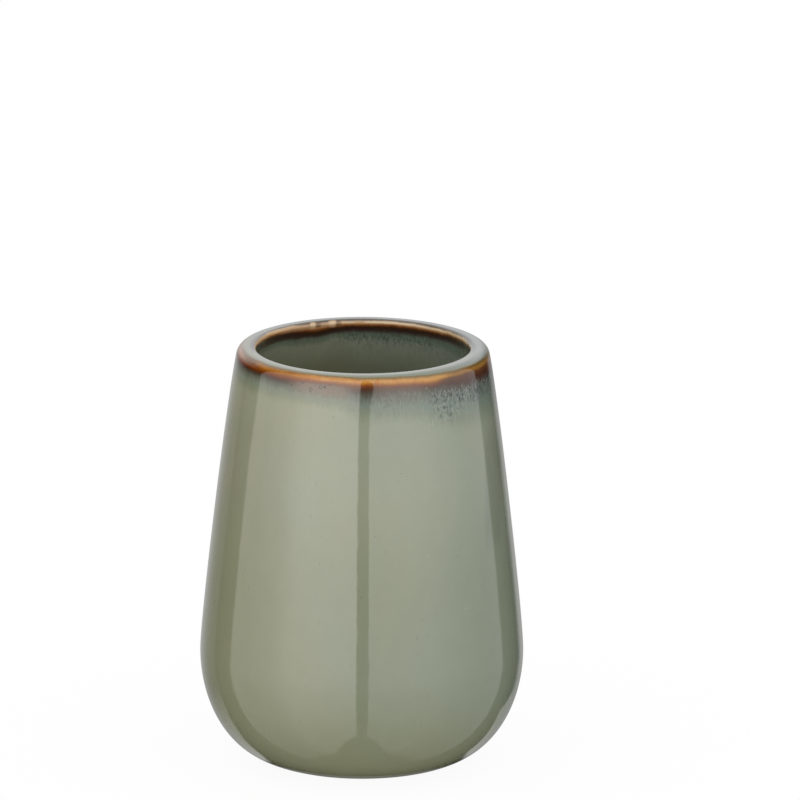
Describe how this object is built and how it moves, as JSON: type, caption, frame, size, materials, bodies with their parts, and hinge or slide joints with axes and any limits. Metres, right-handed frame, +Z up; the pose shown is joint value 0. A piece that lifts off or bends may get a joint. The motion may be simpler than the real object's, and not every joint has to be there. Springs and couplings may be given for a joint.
{
  "type": "toothbrush tumbler",
  "caption": "Egg-shaped glazed stoneware tumbler with a thick rounded lip, open at the top to hold toothbrushes, on anti-slip pads set inside its foot ring.",
  "frame": {"origin": "on the surface that the pads stand on, under the middle of the cup", "axes": "+Z up along the cup's axis, +X to the right, front towards -Y"},
  "size_m": [0.08, 0.08, 0.105],
  "materials": {
    "green_glaze": "glossy sage green reactive glaze that breaks to orange-brown on the lip's outer and inner edges",
    "clear_silicone": "matt, slightly milky"
  },
  "bodies": {
    "root": {"stoneware_cup": "green_glaze", "foot_pad_front": "clear_silicone", "foot_pad_right": "clear_silicone", "foot_pad_back": "clear_silicone", "foot_pad_left": "clear_silicone"}
  },
  "joints": []
}
